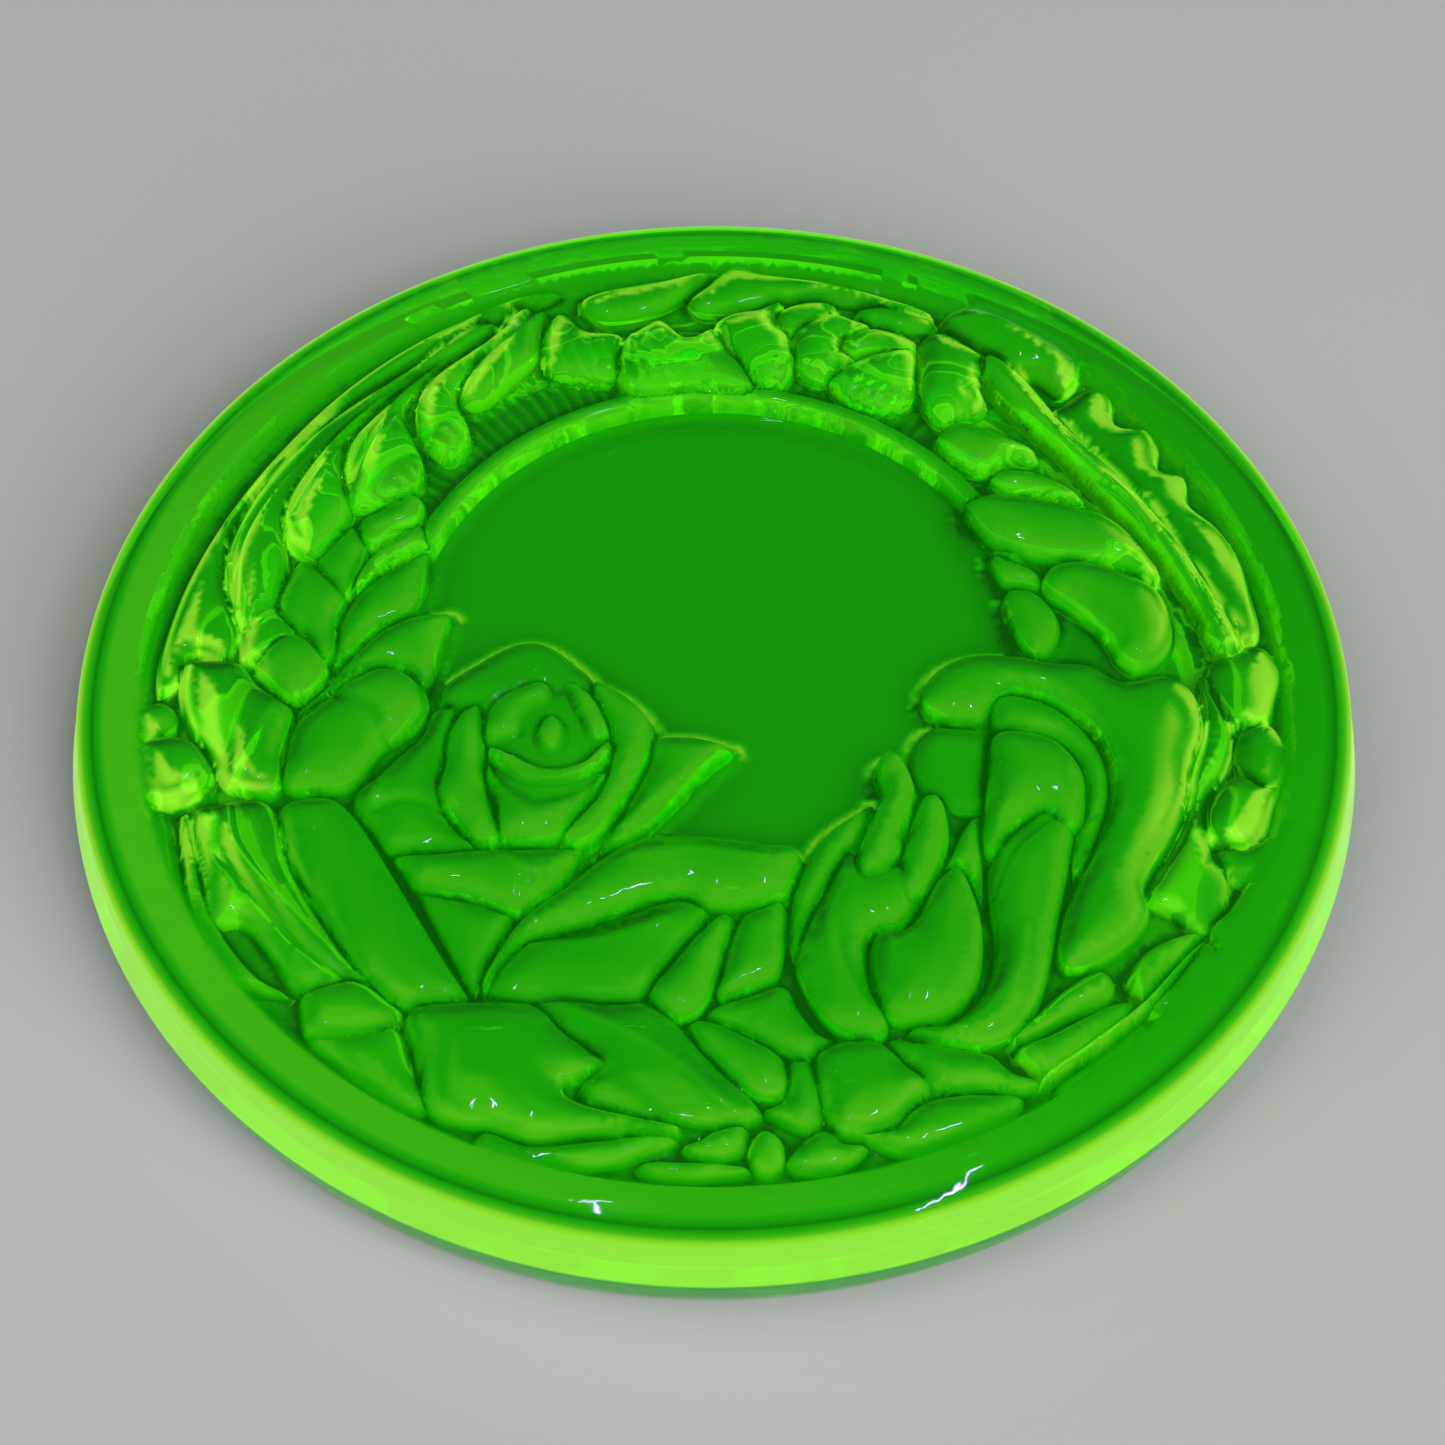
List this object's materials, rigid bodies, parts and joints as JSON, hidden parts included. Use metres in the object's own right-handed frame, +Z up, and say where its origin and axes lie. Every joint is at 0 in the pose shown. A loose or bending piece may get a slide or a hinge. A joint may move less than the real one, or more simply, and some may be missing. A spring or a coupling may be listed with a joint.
{
  "type": "glass dish",
  "caption": "Round, flat, thick pressed-glass dish with a plain sunk well and a raised relief of a rose, buds, scrolls and acanthus leaves on its face.",
  "frame": {"origin": "middle of the foot ring's underside, on the surface the dish stands on", "axes": "+Z up through the face, -Y towards the holder (the rose lies to the left and below the well), +X to the holder's right"},
  "size_m": [0.14, 0.14, 0.015],
  "materials": {
    "uranium_glass": "clear green pressed glass that glows yellow-green, fire-polished, with fine mould marks"
  },
  "bodies": {
    "root": {"glass_dish": "uranium_glass"}
  },
  "joints": []
}
